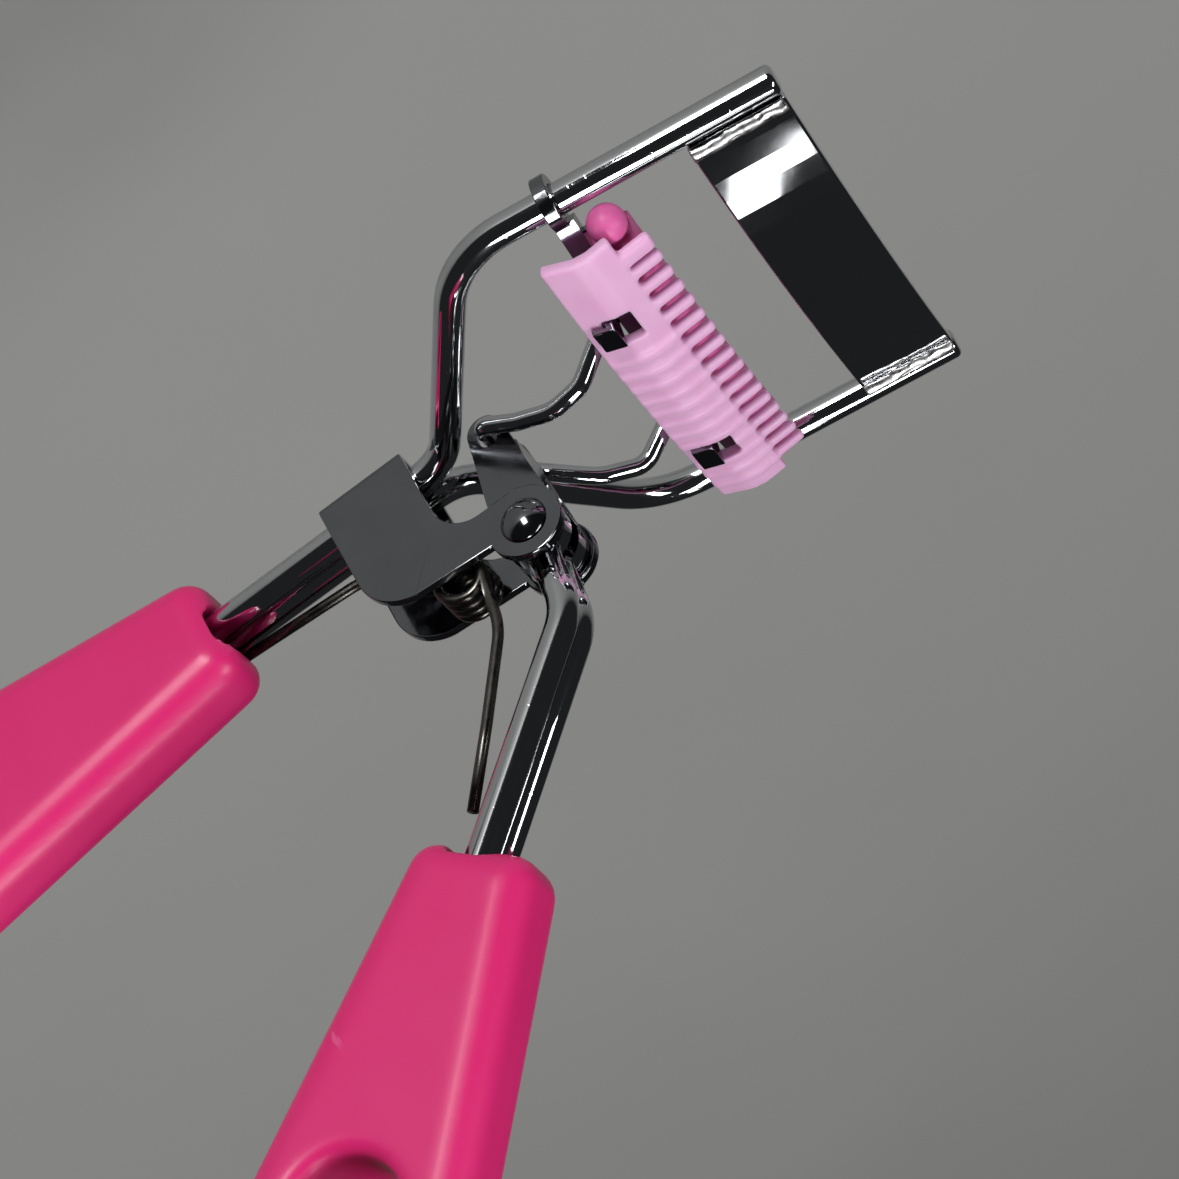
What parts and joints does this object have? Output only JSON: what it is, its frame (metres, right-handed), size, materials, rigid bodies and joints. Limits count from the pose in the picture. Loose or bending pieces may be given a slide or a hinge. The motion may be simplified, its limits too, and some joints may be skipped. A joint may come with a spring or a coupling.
{
  "type": "eyelash curler",
  "caption": "Scissor-handled eyelash curler: chromed wire frame with a fixed jaw, sliding padded jaw with a lash comb, sprung lever and finger grips.",
  "frame": {"origin": "centre of the back face of the bracket that holds the two handle wires", "axes": "+Y forward along the fixed handle, towards the jaws; +Z towards the lever; X along the pivot rivet"},
  "size_m": [0.04, 0.1143, 0.0856],
  "materials": {
    "chrome_wire": "polished chrome plate",
    "jaw_chrome": "mirror-polished chrome plate on sheet",
    "braze": "rough braze under chrome plate",
    "spring_steel": "drawn spring wire",
    "grip_plastic": "satin moulded",
    "comb_plastic": "soft moulded",
    "pad_silicone": "smooth silicone"
  },
  "bodies": {
    "frame": {"left_frame_rod": "chrome_wire", "right_frame_rod": "chrome_wire", "fixed_jaw": "jaw_chrome", "left_braze_seam": "braze", "right_braze_seam": "braze", "pivot_bracket": "chrome_wire", "pivot_rivet": "chrome_wire", "torsion_spring": "spring_steel", "frame_grip": "grip_plastic"},
    "lever": {"left_lever_rod": "chrome_wire", "right_lever_rod": "chrome_wire", "crank_link": "chrome_wire", "lever_grip": "grip_plastic"},
    "carriage": {"jaw_channel": "jaw_chrome", "left_slide_eye": "chrome_wire", "right_slide_eye": "chrome_wire", "silicone_pad": "pad_silicone", "lash_comb": "comb_plastic", "left_wire_tab": "chrome_wire", "right_wire_tab": "chrome_wire"},
    "push_wires": {"left_push_wire": "chrome_wire", "right_push_wire": "chrome_wire"},
    "spring_arm": {"spring_lever_leg": "spring_steel"}
  },
  "joints": [
    {"name": "lever_close", "type": "hinge", "parent": "frame", "child": "lever", "pos_m": [0, 0.00911, 0.01277], "axis": [1, 0, 0], "range_deg": [0, 35], "stiffness_Nm_per_rad": 0.08, "springref_deg": -28.65},
    {"name": "jaw_slide", "type": "slide", "parent": "frame", "child": "carriage", "axis": [0, 0.9839, 0.1788], "range_m": [0, 0.0057]},
    {"name": "wire_tilt", "type": "hinge", "parent": "carriage", "child": "push_wires", "pos_m": [0, 0.02208, 0.00465], "axis": [-1, 0, 0], "range_deg": [0, 6]},
    {"name": "spring_wind", "type": "hinge", "parent": "frame", "child": "spring_arm", "pos_m": [0, 0.00263, 0.01209], "axis": [1, 0, 0], "range_deg": [0, 46]}
  ],
  "couplings": [
    {"joint": "jaw_slide", "follows": "lever_close", "m_per_rad": 0.00918},
    {"joint": "wire_tilt", "follows": "lever_close", "ratio": 0.1671},
    {"joint": "spring_wind", "follows": "lever_close", "ratio": 1.3}
  ]
}
